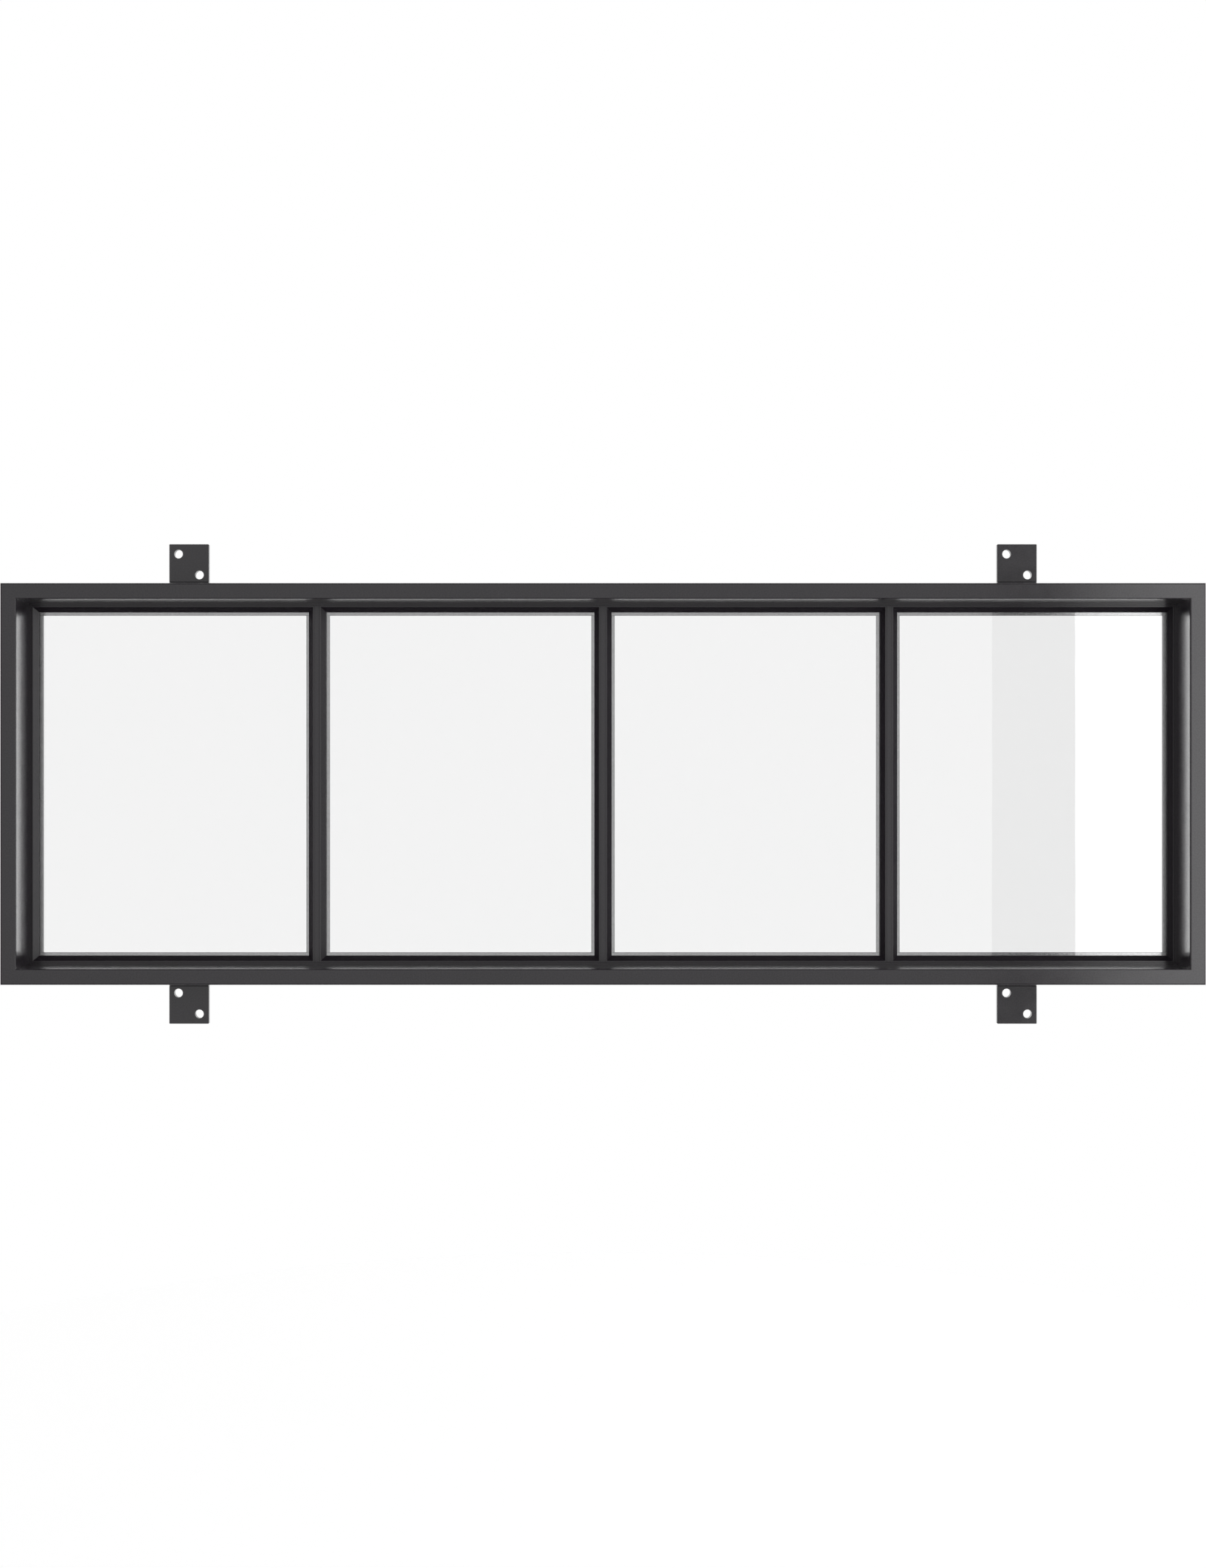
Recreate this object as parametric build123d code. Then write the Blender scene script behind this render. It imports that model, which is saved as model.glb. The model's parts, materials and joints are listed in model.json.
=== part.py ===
"""Fixed steel window: four panes in a row in a rectangular tube frame, with four wall brackets.

Seen from the room, the front face looks along -Y, +X runs to the right and +Z is up. The origin is on
the wall face of the lower left bracket, midway between its two holes.
"""

import os

from build123d import *

# Outer frame, rectangular steel tube mitred at the corners
frame_width = 1500.0
frame_height = 500.0
tube_face = 20.0
tube_depth = 60.0
tube_wall = 2.0
tube_corner_radius = 2.0
tube_bore_radius = 0.5

# Rolled rebate angle round the inside of the frame, and T bars between the panes
pane_count = 4
mullion_pitch = 364.0
flange_reach = 15.0
flange_thickness = 3.0
leg_thickness = 3.0
rolled_root_radius = 1.5
rolled_toe_radius = 0.6

# Glazing
glass_thickness = 4.0
glass_edge_clearance = 3.0
glass_arris = 0.5
tape_thickness = 1.0
tape_setback = 0.2
tape_root_gap = 0.5
tape_corner_gap = 0.3

# Bevelled glazing bead
bead_height = 6.0
bead_flat = 2.0
bead_bevel = 6.0
bead_nib = 0.5
bead_edge_break = 0.3
fit_clearance = 0.2

# Wall brackets, flat bar with an upright tab on a short foot
bracket_width = 50.0
bracket_thickness = 6.0
bracket_foot_length = 18.0
bracket_front_depth = 40.0
bracket_offset = 525.0
bracket_edge_break = 0.5
hole_diameter = 11.0
hole_pitch = 26.5
hole_end_distance = 12.5
hole_base_distance = 9.0

# Sizes that follow from the ones above, with depth measured back from the front face
opening_width = frame_width - 2 * tube_face
opening_height = frame_height - 2 * tube_face
web_thickness = 2 * leg_thickness
flange_front = tube_depth - flange_thickness
glass_back = flange_front - tape_thickness
glass_front = glass_back - glass_thickness
bead_front = glass_front - bead_height
section_depth = tube_depth - bead_front
rebate_height = opening_height - 2 * leg_thickness
mullion_middles = [(i - (pane_count - 2) / 2) * mullion_pitch for i in range(pane_count - 1)]
tape_width = flange_reach - leg_thickness - rolled_root_radius - tape_root_gap - tape_setback
bracket_tab_height = hole_base_distance + hole_pitch + hole_end_distance
tab_centre_height = bracket_thickness + hole_base_distance + hole_pitch / 2
origin_shift = Pos(
    bracket_offset,
    -(bracket_front_depth + bracket_thickness),
    frame_height / 2 + tab_centre_height,
)

# Bar sections are drawn with their first axis pointing into the pane and their second axis to the back
section_plane = Plane(origin=(0, 0, 0), x_dir=(0, 0, -1), z_dir=(1, 0, 0))


def save(shape, name):
    """Write one piece, moved from the window's centre to the row's origin."""
    export_step(origin_shift * shape, f"parts/{name}.step")


def rectangle_from(inward, depth, width, height):
    """Rectangle with its near corner at (inward, depth) of a bar section."""
    return Pos(inward, depth) * Rectangle(width, height, align=(Align.MIN, Align.MIN))


def soften(sketch, points, radius):
    """Round the corners of a bar section that lie at the given points."""
    corners = [v for p in points for v in sketch.vertices() if (Vector(*p) - v.center()).length < 1e-3]
    return fillet(corners, radius)


def tube_section():
    """Rectangular hollow section with rounded corners."""
    outer = RectangleRounded(tube_face, tube_depth, tube_corner_radius)
    bore = RectangleRounded(tube_face - 2 * tube_wall, tube_depth - 2 * tube_wall, tube_bore_radius)
    return Pos(tube_face / 2, tube_depth / 2) * (outer - bore)


def angle_section():
    """Rolled angle: a leg along the tube and a rear flange that the glass is bedded on."""
    leg = rectangle_from(0, bead_front, leg_thickness, section_depth)
    flange = rectangle_from(0, flange_front, flange_reach, flange_thickness)
    section = leg + flange
    section = soften(section, [(leg_thickness, flange_front)], rolled_root_radius)
    toes = [(flange_reach, flange_front), (flange_reach, tube_depth)]
    return soften(section, toes, rolled_toe_radius)


def tee_section():
    """Rolled T: two angle sections back to back, in one piece."""
    half_web = web_thickness / 2
    web = rectangle_from(-half_web, bead_front, web_thickness, section_depth)
    flange = rectangle_from(-flange_reach, flange_front, 2 * flange_reach, flange_thickness)
    section = web + flange
    roots = [(side * half_web, flange_front) for side in (-1, 1)]
    section = soften(section, roots, rolled_root_radius)
    toes = [(side * flange_reach, depth) for side in (-1, 1) for depth in (flange_front, tube_depth)]
    return soften(section, toes, rolled_toe_radius)


def bead_section():
    """Bead with a narrow front flat and a bevel that runs down to a thin nib on the glass."""
    bead_width = bead_flat + bead_bevel
    front_edge = (bead_flat, bead_front)
    outline = Polyline(
        (fit_clearance, bead_front),
        front_edge,
        (bead_width, glass_front - bead_nib),
        (bead_width, glass_front),
        (fit_clearance, glass_front),
        close=True,
    )
    return soften(make_face(outline), [front_edge], bead_edge_break)


def mitred_bar(section, span):
    """Bar along X with both ends cut at 45 degrees, its outer edge span long at Z = 0."""
    bar = extrude(section_plane * section, span / 2, both=True)
    reach = -bar.bounding_box().min.Z
    outer, inner = span / 2, span / 2 - reach
    cut = make_face(Polyline((-outer, 0), (outer, 0), (inner, -reach), (-inner, -reach), close=True))
    return bar & extrude(Plane.XZ * cut, 2 * tube_depth, both=True)


def mitred_frame(section, width, height):
    """Four mitred bars round a rectangle centred on the Y axis."""
    head = Pos(0, 0, height / 2) * mitred_bar(section, width)
    jamb = Pos(0, 0, width / 2) * mitred_bar(section, height)
    return {
        "head": head,
        "sill": Rot(0, 180, 0) * head,
        "left": Rot(0, -90, 0) * jamb,
        "right": Rot(0, 90, 0) * jamb,
    }


def mullion():
    """Upright T bar: its flange stops at the head and sill angles, while the web laps over them, with the
    heel at each end ground off to clear their root radius."""
    flange_length = opening_height - 2 * flange_reach - 2 * fit_clearance
    web_length = rebate_height - 2 * fit_clearance
    web_section = rectangle_from(-web_thickness / 2, bead_front, web_thickness, flange_front - bead_front)
    web = extrude(section_plane * web_section, web_length / 2, both=True)
    heels = web.edges().filter_by(Axis.Z).group_by(Axis.Y)[-1]
    web = chamfer(heels, rolled_root_radius)
    tee = extrude(section_plane * tee_section(), flange_length / 2, both=True)
    return Rot(0, 90, 0) * (tee + web)


def pane_edges(index):
    """Left and right edges of the rebate that a pane sits in."""
    left = [-opening_width / 2 + leg_thickness] + [x + web_thickness / 2 for x in mullion_middles]
    right = [x - web_thickness / 2 for x in mullion_middles] + [opening_width / 2 - leg_thickness]
    return left[index], right[index]


def glass_pane(width):
    """Sheet of glass with its edges arrised."""
    sheet = Box(
        width - 2 * glass_edge_clearance,
        glass_thickness,
        rebate_height - 2 * glass_edge_clearance,
        align=(Align.CENTER, Align.MIN, Align.CENTER),
    )
    return Pos(0, glass_front, 0) * chamfer(sheet.edges(), glass_arris)


def glazing_tape(width):
    """Four strips of tape on the rear flange, set back from its inner edge."""
    inner_width = width - 2 * (flange_reach - leg_thickness - tape_setback)
    inner_height = rebate_height - 2 * (flange_reach - leg_thickness - tape_setback)
    across = Box(inner_width + 2 * tape_width, tape_thickness, tape_width)
    up = Box(tape_width, tape_thickness, inner_height - 2 * tape_corner_gap)
    depth = glass_back + tape_thickness / 2
    strips = []
    for side in (-1, 1):
        strips.append(Pos(0, depth, side * (inner_height + tape_width) / 2) * across)
        strips.append(Pos(side * (inner_width + tape_width) / 2, depth, 0) * up)
    return Compound(strips)


def bracket_foot():
    """Short foot plate, with its lower face at Z = 0 and its front edge at Y = 0."""
    plate = Box(
        bracket_width, bracket_foot_length, bracket_thickness, align=(Align.CENTER, Align.MIN, Align.MIN)
    )
    return chamfer(plate.edges(), bracket_edge_break)


def bracket_tab():
    """Upright tab on the foot, with two holes on a diagonal."""
    plate = Box(
        bracket_width, bracket_thickness, bracket_tab_height, align=(Align.CENTER, Align.MIN, Align.MIN)
    )
    plate = chamfer(plate.edges(), bracket_edge_break)
    hole = Rot(90, 0, 0) * Cylinder(hole_diameter / 2, 4 * bracket_thickness)
    lower_hole = Pos(hole_pitch / 2, 0, hole_base_distance)
    upper_hole = Pos(-hole_pitch / 2, 0, hole_base_distance + hole_pitch)
    plate -= lower_hole * hole + upper_hole * hole
    return Pos(0, 0, bracket_thickness) * plate


os.makedirs("parts", exist_ok=True)

for side, bar in mitred_frame(tube_section(), frame_width, frame_height).items():
    save(bar, f"{side}_frame_tube")

for side, bar in mitred_frame(angle_section(), opening_width, opening_height).items():
    save(bar, f"{side}_rebate_angle")

for index, middle in enumerate(mullion_middles):
    save(Pos(middle, 0, 0) * mullion(), f"mullion_{index + 1}")

for index in range(pane_count):
    left, right = pane_edges(index)
    width = right - left
    centre = Pos((left + right) / 2, 0, 0)
    save(centre * glass_pane(width), f"pane_{index + 1}_glass")
    save(centre * glazing_tape(width), f"pane_{index + 1}_tape")
    for side, bar in mitred_frame(bead_section(), width, rebate_height).items():
        save(centre * bar, f"pane_{index + 1}_{side}_bead")

for edge, turn in (("upper", 0), ("lower", 180)):
    for side, place in (("left", -1), ("right", 1)):
        seat = Pos(place * bracket_offset, 0, 0) * Rot(0, turn, 0)
        seat = seat * Pos(0, bracket_front_depth, frame_height / 2)
        save(seat * bracket_foot(), f"{edge}_{side}_bracket_foot")
        save(seat * bracket_tab(), f"{edge}_{side}_bracket_tab")
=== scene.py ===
"""Fixed steel window in a plain white studio: finishes for its bars, beads, brackets, tape and panes, with a
pale floor, soft light and a camera straight in front of it."""

import json
import math

import bmesh
import bpy
from mathutils import Matrix, Vector


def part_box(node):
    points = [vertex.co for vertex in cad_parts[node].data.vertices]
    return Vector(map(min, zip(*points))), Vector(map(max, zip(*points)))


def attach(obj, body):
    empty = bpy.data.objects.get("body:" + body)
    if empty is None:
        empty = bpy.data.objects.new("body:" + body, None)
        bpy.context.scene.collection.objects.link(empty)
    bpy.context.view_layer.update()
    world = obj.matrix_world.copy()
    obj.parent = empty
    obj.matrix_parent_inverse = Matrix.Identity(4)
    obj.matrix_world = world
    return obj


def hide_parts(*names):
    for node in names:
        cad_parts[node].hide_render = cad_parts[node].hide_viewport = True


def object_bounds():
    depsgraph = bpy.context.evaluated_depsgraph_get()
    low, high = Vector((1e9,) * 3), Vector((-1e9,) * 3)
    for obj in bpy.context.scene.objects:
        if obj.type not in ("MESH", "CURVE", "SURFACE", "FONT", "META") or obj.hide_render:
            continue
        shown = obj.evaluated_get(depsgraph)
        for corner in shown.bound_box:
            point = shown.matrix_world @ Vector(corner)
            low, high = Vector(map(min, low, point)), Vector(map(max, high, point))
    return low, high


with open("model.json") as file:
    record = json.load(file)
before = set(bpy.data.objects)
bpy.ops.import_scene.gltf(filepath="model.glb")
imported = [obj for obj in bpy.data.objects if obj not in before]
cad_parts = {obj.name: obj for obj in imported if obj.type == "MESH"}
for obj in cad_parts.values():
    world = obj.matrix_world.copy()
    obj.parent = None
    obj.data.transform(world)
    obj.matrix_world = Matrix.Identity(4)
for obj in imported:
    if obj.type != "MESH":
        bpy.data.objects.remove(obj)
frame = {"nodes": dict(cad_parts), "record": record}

cad_low, cad_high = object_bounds()
window_middle = (cad_low + cad_high) / 2
front_face = cad_low.y

# Camera, in metres from the front face, and its lens in pixels of a 1600 x 2080 image
camera_distance = 2.020
focal_length_pixels = 2155.5
image_height_pixels = 2080
sensor_millimetres = 36.0

# White room, with strengths at which 1 is white, and how far back a mirrored ray heads to meet the backdrop
white = (1.0, 1.0, 1.0, 1.0)
backdrop_white = 1.0
backdrop_fade = (0.05, 0.30)
dark_room = 0.01
room_light = 0.60

# Floor, in metres, with the glow that lifts it to white for the camera
floor_drop = 0.95
floor_radius = 2.3
floor_sides = 96
floor_grey = (0.8, 0.8, 0.8, 1.0)
floor_roughness = 0.9
floor_lift = 0.50

# Glowing cards, in metres from the window's middle
front_card_strength = 0.60
front_card_left_edge = -2.4
front_card_right_edge = 0.993
front_card_height = 3.0
softbox_strength = 1.71
softbox_near_edge = 1.205
softbox_far_edge = 3.0
side_card_strength = 0.70
side_card_offset = 2.6
side_card_front, side_card_back = 2.1, 0.75
card_height = 3.2
back_card_strength = 2.15
back_card_width, back_card_height = 2.4, 1.0
back_card_distance = 1.0

# Turns of a card about the upright axis, in degrees
looking_back, looking_left, looking_forward = 0, 90, 180

# Powder coat on the steel
charcoal = (0.0120, 0.0092, 0.0130, 1.0)
charcoal_light = (0.0158, 0.0124, 0.0172, 1.0)
paint_ior = 1.55
paint_clouds_per_metre = 14.0
mottle_window = (0.75, 1.25)
gloss_window = (0.7, 1.3)
gloss_swing = 0.03
skin_window = (0.38, 0.62)
skin_weight = (0.82, 0.92)
grain_share, peel_share = 0.65, 0.35

# Foil of the glazing tape
foil_pale = (0.59, 0.59, 0.595, 1.0)
foil_dull = (0.53, 0.53, 0.535, 1.0)
foil_ior = 1.5
foil_metallic = 0.85
foil_window = (0.3, 0.7)
foil_roughness = (0.12, 0.18)
foil_smears_per_metre = 300.0
foil_creases_per_metre = 260.0
foil_crease_depth = 0.000012

# Panes
glass_clear = (0.939, 0.939, 0.939, 1.0)
glass_faint_green = (0.934, 0.936, 0.9355, 1.0)
glass_shadow = (0.84, 0.845, 0.843, 1.0)
glass_ior = 1.7
glass_tints_per_metre = 3.0
glass_tint_window = (0.3, 0.7)
glass_hazes_per_metre = 40.0
glass_haze_window = (0.45, 0.75)
glass_roughness = (0.0, 0.012)
glass_waves_per_metre = 9.0
glass_wave_depth = 0.0005
glass_wave_strength = 0.04
glass_transmission = 1.0
pane_air_gap = 0.00005
pane_arris = 0.0005
pane_arris_segments = 2


# Shader nodes

def feed(tree, socket, value):
    """Link an input to another node's output, or set it to a plain value."""
    if isinstance(value, bpy.types.NodeSocket):
        tree.links.new(value, socket)
    else:
        socket.default_value = value


def add_node(tree, kind, inputs=None, **settings):
    """One shader node, with its settings and what goes into its inputs."""
    node = tree.nodes.new(kind)
    for name, setting in settings.items():
        setattr(node, name, setting)
    for name, value in (inputs or {}).items():
        feed(tree, node.inputs[name], value)
    return node


def noise(tree, position, scale, octaves):
    """Soft clouds between 0 and 1, about so many to a metre."""
    node = add_node(tree, "ShaderNodeTexNoise", {"Vector": position, "Scale": scale, "Detail": octaves})
    return node.outputs["Fac"]


def calculate(tree, operation, first, second):
    """Sum, product, comparison or the like of two values."""
    node = add_node(tree, "ShaderNodeMath", operation=operation)
    feed(tree, node.inputs[0], first)
    feed(tree, node.inputs[1], second)
    return node.outputs["Value"]


def spread(tree, value, window, reach=(0.0, 1.0)):
    """Map a value from one range to another, clamped."""
    inputs = {"Value": value}
    inputs["From Min"], inputs["From Max"] = window
    inputs["To Min"], inputs["To Max"] = reach
    return add_node(tree, "ShaderNodeMapRange", inputs, clamp=True).outputs["Result"]


def choose(tree, switch, off, on):
    """One value where the switch is 0, another where it is 1."""
    return spread(tree, switch, (0.0, 1.0), (off, on))


def mix_colours(tree, share, first, second):
    """Colour between two others."""
    node = add_node(tree, "ShaderNodeMix", {"Factor": share, "A": first, "B": second}, data_type="RGBA")
    return node.outputs["Result"]


def mix_shaders(tree, switch, off, on):
    """One shader where the switch is 0, another where it is 1."""
    node = add_node(tree, "ShaderNodeMixShader", {"Fac": switch})
    feed(tree, node.inputs[1], off)
    feed(tree, node.inputs[2], on)
    return node.outputs["Shader"]


def bump(tree, height, depth, strength=1.0):
    """Normal of a surface with a fine relief."""
    node = add_node(tree, "ShaderNodeBump", {"Height": height, "Distance": depth, "Strength": strength})
    return node.outputs["Normal"]


def new_group(name, inputs, outputs):
    """An empty shader node group with named sockets."""
    tree = bpy.data.node_groups.new(name, "ShaderNodeTree")
    for label, kind in inputs.items():
        tree.interface.new_socket(label, in_out="INPUT", socket_type=kind)
    for label, kind in outputs.items():
        tree.interface.new_socket(label, in_out="OUTPUT", socket_type=kind)
    return tree, tree.nodes.new("NodeGroupInput"), tree.nodes.new("NodeGroupOutput")


def new_material(name):
    """An empty material, with its node tree and the socket that its surface goes to."""
    material = bpy.data.materials.new(name)
    material.use_nodes = True
    tree = material.node_tree
    tree.nodes.clear()
    return material, tree, tree.nodes.new("ShaderNodeOutputMaterial").inputs["Surface"]


def object_position(tree):
    """Place on the piece, in metres."""
    return tree.nodes.new("ShaderNodeTexCoord").outputs["Object"]


def light_path(tree):
    """What is known of the ray that meets a surface."""
    return tree.nodes.new("ShaderNodeLightPath").outputs


def straight_through(tree, path):
    """1 for a ray that came through the panes without being mirrored, else 0."""
    unmirrored = calculate(tree, "LESS_THAN", path["Glossy Depth"], 1.0)
    return calculate(tree, "MULTIPLY", path["Is Transmission Ray"], unmirrored)


# Finishes and panes of the window

def powder_coat_group():
    """Fine texture of a baked powder coat: a grain of about two millimetres over a slow orange peel."""
    vector, number = "NodeSocketVector", "NodeSocketFloat"
    tree, given, result = new_group(
        "powder_coat",
        {"Position": vector, "Grain per metre": number, "Peel per metre": number},
        {"Mottle": number, "Gloss": number, "Skin": number, "Height": number},
    )
    position = given.outputs["Position"]
    grain = noise(tree, position, given.outputs["Grain per metre"], octaves=2.0)
    peel = noise(tree, position, given.outputs["Peel per metre"], octaves=1.0)
    cloud = noise(tree, position, paint_clouds_per_metre, octaves=3.0)
    feed(tree, result.inputs["Mottle"], spread(tree, calculate(tree, "ADD", cloud, grain), mottle_window))
    feed(tree, result.inputs["Gloss"], spread(tree, calculate(tree, "ADD", cloud, peel), gloss_window))
    feed(tree, result.inputs["Skin"], spread(tree, grain, skin_window, skin_weight))
    fine_relief = calculate(tree, "MULTIPLY", grain, grain_share)
    slow_relief = calculate(tree, "MULTIPLY", peel, peel_share)
    feed(tree, result.inputs["Height"], calculate(tree, "ADD", fine_relief, slow_relief))
    return tree


def paint_material(
    name, powder_coat, roughness, coat_roughness, grain_per_metre, peel_per_metre, grain_depth
):
    """Charcoal powder coat: a smooth base under a duller, grainy skin."""
    material, tree, surface = new_material(name)
    coat = add_node(
        tree,
        "ShaderNodeGroup",
        {
            "Position": object_position(tree),
            "Grain per metre": grain_per_metre,
            "Peel per metre": peel_per_metre,
        },
        node_tree=powder_coat,
    ).outputs
    shader = add_node(
        tree,
        "ShaderNodeBsdfPrincipled",
        {
            "Base Color": mix_colours(tree, coat["Mottle"], charcoal, charcoal_light),
            "Roughness": choose(tree, coat["Gloss"], roughness - gloss_swing, roughness + gloss_swing),
            "IOR": paint_ior,
            "Coat Weight": coat["Skin"],
            "Coat Roughness": coat_roughness,
            "Normal": bump(tree, coat["Height"], grain_depth),
        },
    )
    feed(tree, surface, shader.outputs["BSDF"])
    return material


def tape_material():
    """Foil-faced glazing tape, pale and half glossy, a little creased."""
    material, tree, surface = new_material("glazing_tape_foil")
    position = object_position(tree)
    crease = noise(tree, position, foil_creases_per_metre, octaves=3.0)
    smear = noise(tree, position, foil_smears_per_metre, octaves=2.0)
    shader = add_node(
        tree,
        "ShaderNodeBsdfPrincipled",
        {
            "Base Color": mix_colours(tree, spread(tree, crease, foil_window), foil_dull, foil_pale),
            "Metallic": foil_metallic,
            "Roughness": spread(tree, smear, foil_window, foil_roughness),
            "IOR": foil_ior,
            "Normal": bump(tree, crease, foil_crease_depth),
        },
    )
    feed(tree, surface, shader.outputs["BSDF"])
    return material


def glass_material():
    """Clear float glass, faintly wavy, that lets light through to the bars behind it."""
    material, tree, surface = new_material("float_glass")
    position = object_position(tree)
    tint = noise(tree, position, glass_tints_per_metre, octaves=2.0)
    haze = noise(tree, position, glass_hazes_per_metre, octaves=3.0)
    wave = noise(tree, position, glass_waves_per_metre, octaves=1.0)
    tint_share = spread(tree, tint, glass_tint_window)
    shader = add_node(
        tree,
        "ShaderNodeBsdfPrincipled",
        {
            "Base Color": mix_colours(tree, tint_share, glass_clear, glass_faint_green),
            "Roughness": spread(tree, haze, glass_haze_window, glass_roughness),
            "IOR": glass_ior,
            "Transmission Weight": glass_transmission,
            "Normal": bump(tree, wave, glass_wave_depth, glass_wave_strength),
        },
    )
    clear = add_node(tree, "ShaderNodeBsdfTransparent", {"Color": glass_shadow})
    shadow = light_path(tree)["Is Shadow Ray"]
    feed(tree, surface, mix_shaders(tree, shadow, shader.outputs["BSDF"], clear.outputs["BSDF"]))
    return material


def window_finishes():
    """Finish of each of the record's material slots."""
    powder_coat = powder_coat_group()
    return {
        "frame_paint": paint_material(
            "frame_paint_coat",
            powder_coat,
            roughness=0.18,
            coat_roughness=0.33,
            grain_per_metre=520.0,
            peel_per_metre=120.0,
            grain_depth=0.00006,
        ),
        "bar_paint": paint_material(
            "bar_paint_coat",
            powder_coat,
            roughness=0.15,
            coat_roughness=0.33,
            grain_per_metre=560.0,
            peel_per_metre=130.0,
            grain_depth=0.00006,
        ),
        "bead_paint": paint_material(
            "bead_paint_coat",
            powder_coat,
            roughness=0.15,
            coat_roughness=0.33,
            grain_per_metre=600.0,
            peel_per_metre=140.0,
            grain_depth=0.00004,
        ),
        "bracket_paint": paint_material(
            "bracket_paint_coat",
            powder_coat,
            roughness=0.16,
            coat_roughness=0.34,
            grain_per_metre=500.0,
            peel_per_metre=110.0,
            grain_depth=0.00006,
        ),
        "glazing_tape": tape_material(),
        "clear_glass": glass_material(),
    }


def mesh_object(name, shape, material):
    """Object in the scene with the shape of a bmesh, which is used up."""
    mesh = bpy.data.meshes.new(name)
    shape.to_mesh(mesh)
    shape.free()
    mesh.materials.append(material)
    piece = bpy.data.objects.new(name, mesh)
    bpy.context.scene.collection.objects.link(piece)
    return piece


def dress(name, material):
    """Give a CAD node its finish."""
    slots = frame["nodes"][name].data.materials
    slots.clear()
    slots.append(material)


def float_glass_pane(name, material):
    """Sheet of glass with rounded arrises, a hair thinner than its CAD solid so that light passes between it
    and the bead and tape that it lies against."""
    low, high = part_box(name)
    shape = bmesh.new()
    bmesh.ops.create_cube(shape, size=1.0)
    size = high - low
    size.y -= 2 * pane_air_gap
    bmesh.ops.scale(shape, verts=shape.verts, vec=size)
    bmesh.ops.bevel(
        shape,
        geom=shape.edges[:],
        offset=pane_arris,
        affect="EDGES",
        segments=pane_arris_segments,
        profile=0.5,
        material=-1,
    )
    bmesh.ops.translate(shape, verts=shape.verts, vec=(low + high) / 2)
    bmesh.ops.recalc_face_normals(shape, faces=shape.faces)
    pane = mesh_object(name.replace("_glass", "_float_glass"), shape, material)
    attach(pane, "root")
    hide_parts(name)


# Studio round the window

def studio_world():
    """White to the camera, through the panes and behind the window, but dim in front of it to what the gloss
    mirrors."""
    world = bpy.data.worlds.new("white_studio")
    world.use_nodes = True
    tree = world.node_tree
    tree.nodes.clear()
    path = light_path(tree)
    heading = tree.nodes.new("ShaderNodeTexCoord").outputs["Generated"]
    backward = add_node(tree, "ShaderNodeSeparateXYZ", {"Vector": heading}).outputs["Y"]
    mirrored = spread(tree, backward, backdrop_fade, (dark_room, backdrop_white))
    unseen = choose(tree, path["Is Glossy Ray"], room_light, mirrored)
    seen = calculate(tree, "MAXIMUM", path["Is Camera Ray"], straight_through(tree, path))
    strength = choose(tree, seen, unseen, backdrop_white)
    background = add_node(tree, "ShaderNodeBackground", {"Color": white, "Strength": strength})
    output = tree.nodes.new("ShaderNodeOutputWorld")
    feed(tree, output.inputs["Surface"], background.outputs["Background"])
    bpy.context.scene.world = world


def floor_material():
    """Pale floor, lifted to white for the camera and through the panes, and clear from below."""
    material, tree, surface = new_material("pale_floor")
    path = light_path(tree)
    seen = calculate(tree, "MAXIMUM", path["Is Camera Ray"], path["Is Transmission Ray"])
    shader = add_node(
        tree,
        "ShaderNodeBsdfPrincipled",
        {
            "Base Color": floor_grey,
            "Roughness": floor_roughness,
            "Emission Color": white,
            "Emission Strength": calculate(tree, "MULTIPLY", seen, floor_lift),
        },
    )
    clear = tree.nodes.new("ShaderNodeBsdfTransparent")
    below = tree.nodes.new("ShaderNodeNewGeometry").outputs["Backfacing"]
    feed(tree, surface, mix_shaders(tree, below, shader.outputs["BSDF"], clear.outputs["BSDF"]))
    return material


def pale_floor():
    """Round floor under the window, which the gloss of the paint doesn't mirror."""
    shape = bmesh.new()
    bmesh.ops.create_circle(shape, cap_ends=True, segments=floor_sides, radius=floor_radius)
    centre = Vector((window_middle.x, window_middle.y, cad_low.z - floor_drop))
    bmesh.ops.translate(shape, verts=shape.verts, vec=centre)
    floor = mesh_object("floor", shape, floor_material())
    floor.visible_glossy = False


def card_material(name, strength):
    """Plain glow, clear to what looks straight through the panes."""
    material, tree, surface = new_material(name)
    glow = add_node(tree, "ShaderNodeEmission", {"Color": white, "Strength": strength})
    clear = tree.nodes.new("ShaderNodeBsdfTransparent")
    unmirrored = straight_through(tree, light_path(tree))
    feed(tree, surface, mix_shaders(tree, unmirrored, glow.outputs["Emission"], clear.outputs["BSDF"]))
    return material


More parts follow.
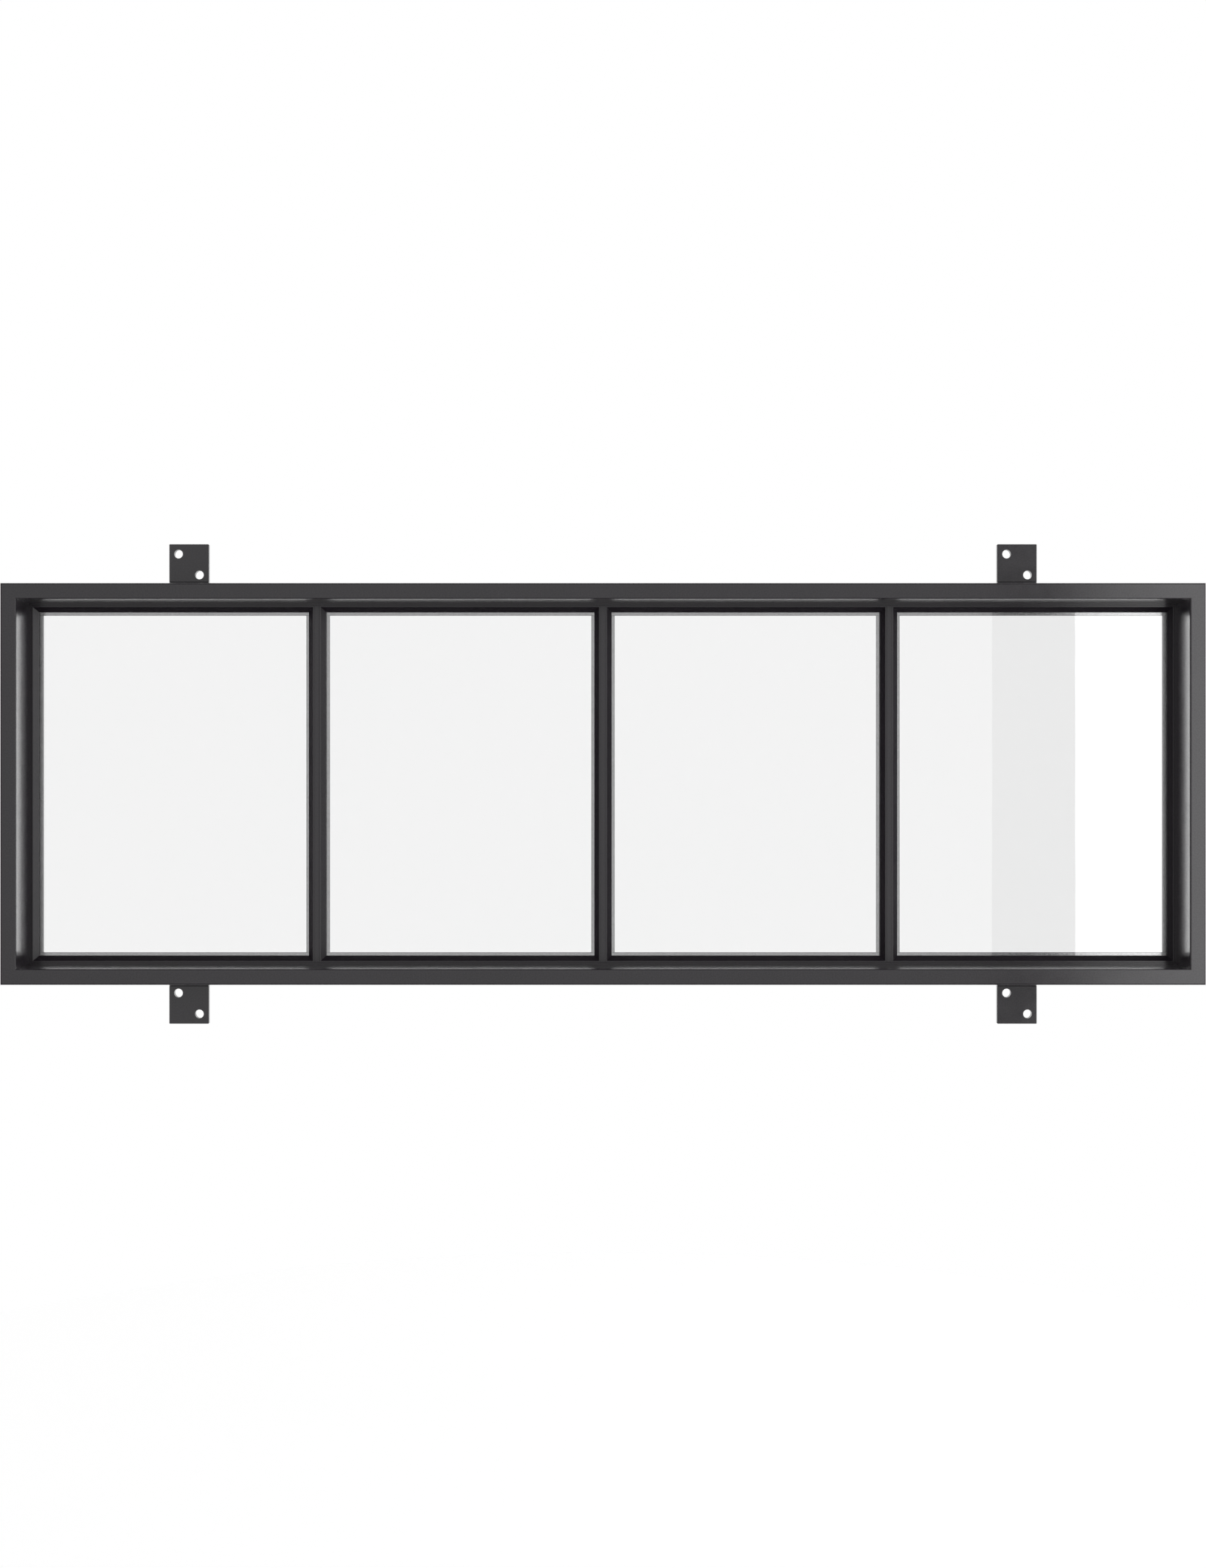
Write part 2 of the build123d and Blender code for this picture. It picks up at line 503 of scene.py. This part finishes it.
def studio_card(name, width, height, turn, place, strength):
    """Upright glowing card that the window mirrors and the camera doesn't see."""
    shape = bmesh.new()
    bmesh.ops.create_grid(shape, x_segments=1, y_segments=1, size=0.5)
    bmesh.ops.scale(shape, verts=shape.verts, vec=(width, height, 1.0))
    bmesh.ops.rotate(shape, verts=shape.verts, matrix=Matrix.Rotation(math.radians(-90), 3, "X"))
    bmesh.ops.rotate(shape, verts=shape.verts, matrix=Matrix.Rotation(math.radians(turn), 3, "Z"))
    bmesh.ops.translate(shape, verts=shape.verts, vec=window_middle + Vector(place))
    card = mesh_object(name, shape, card_material(name, strength))
    card.visible_camera = False
    card.visible_shadow = False
    return card


def studio_cards():
    """In the camera's plane a wide card and a softbox to its right, with a dark gap between them, then a card
    to the right of the window, and a card behind it that the bars mirror through the panes."""
    card_plane = front_face - camera_distance - window_middle.y
    width = front_card_right_edge - front_card_left_edge
    middle = (front_card_right_edge + front_card_left_edge) / 2
    place = (middle, card_plane, 0)
    studio_card("front_card", width, front_card_height, looking_back, place, front_card_strength)
    width = softbox_far_edge - softbox_near_edge
    middle = (softbox_far_edge + softbox_near_edge) / 2
    place = (middle, card_plane, 0)
    studio_card("softbox", width, card_height, looking_back, place, softbox_strength)
    width = side_card_front - side_card_back
    middle = -(side_card_front + side_card_back) / 2
    place = (side_card_offset, middle, 0)
    studio_card("side_card", width, card_height, looking_left, place, side_card_strength)
    place = (0, back_card_distance, 0)
    back_card = studio_card(
        "back_card", back_card_width, back_card_height, looking_forward, place, back_card_strength
    )
    back_card.visible_glossy = False
    back_card.visible_diffuse = False


def photograph_camera():
    """Camera level with the window's middle and square to it."""
    data = bpy.data.cameras.new("photograph_camera")
    data.sensor_width = sensor_millimetres
    data.lens = sensor_millimetres * focal_length_pixels / image_height_pixels
    camera = bpy.data.objects.new("photograph_camera", data)
    camera.location = (window_middle.x, front_face - camera_distance, window_middle.z)
    camera.rotation_euler = (math.radians(90), 0, 0)
    bpy.context.scene.collection.objects.link(camera)
    bpy.context.scene.camera = camera


finishes = window_finishes()
for part in frame["record"]["subparts"]:
    finish = finishes[part["material_slot"]]
    if part["material_slot"] == "clear_glass":
        float_glass_pane(part["node"], finish)
    else:
        dress(part["node"], finish)

studio_world()
pale_floor()
studio_cards()
photograph_camera()
bpy.context.scene.view_settings.view_transform = "Standard"
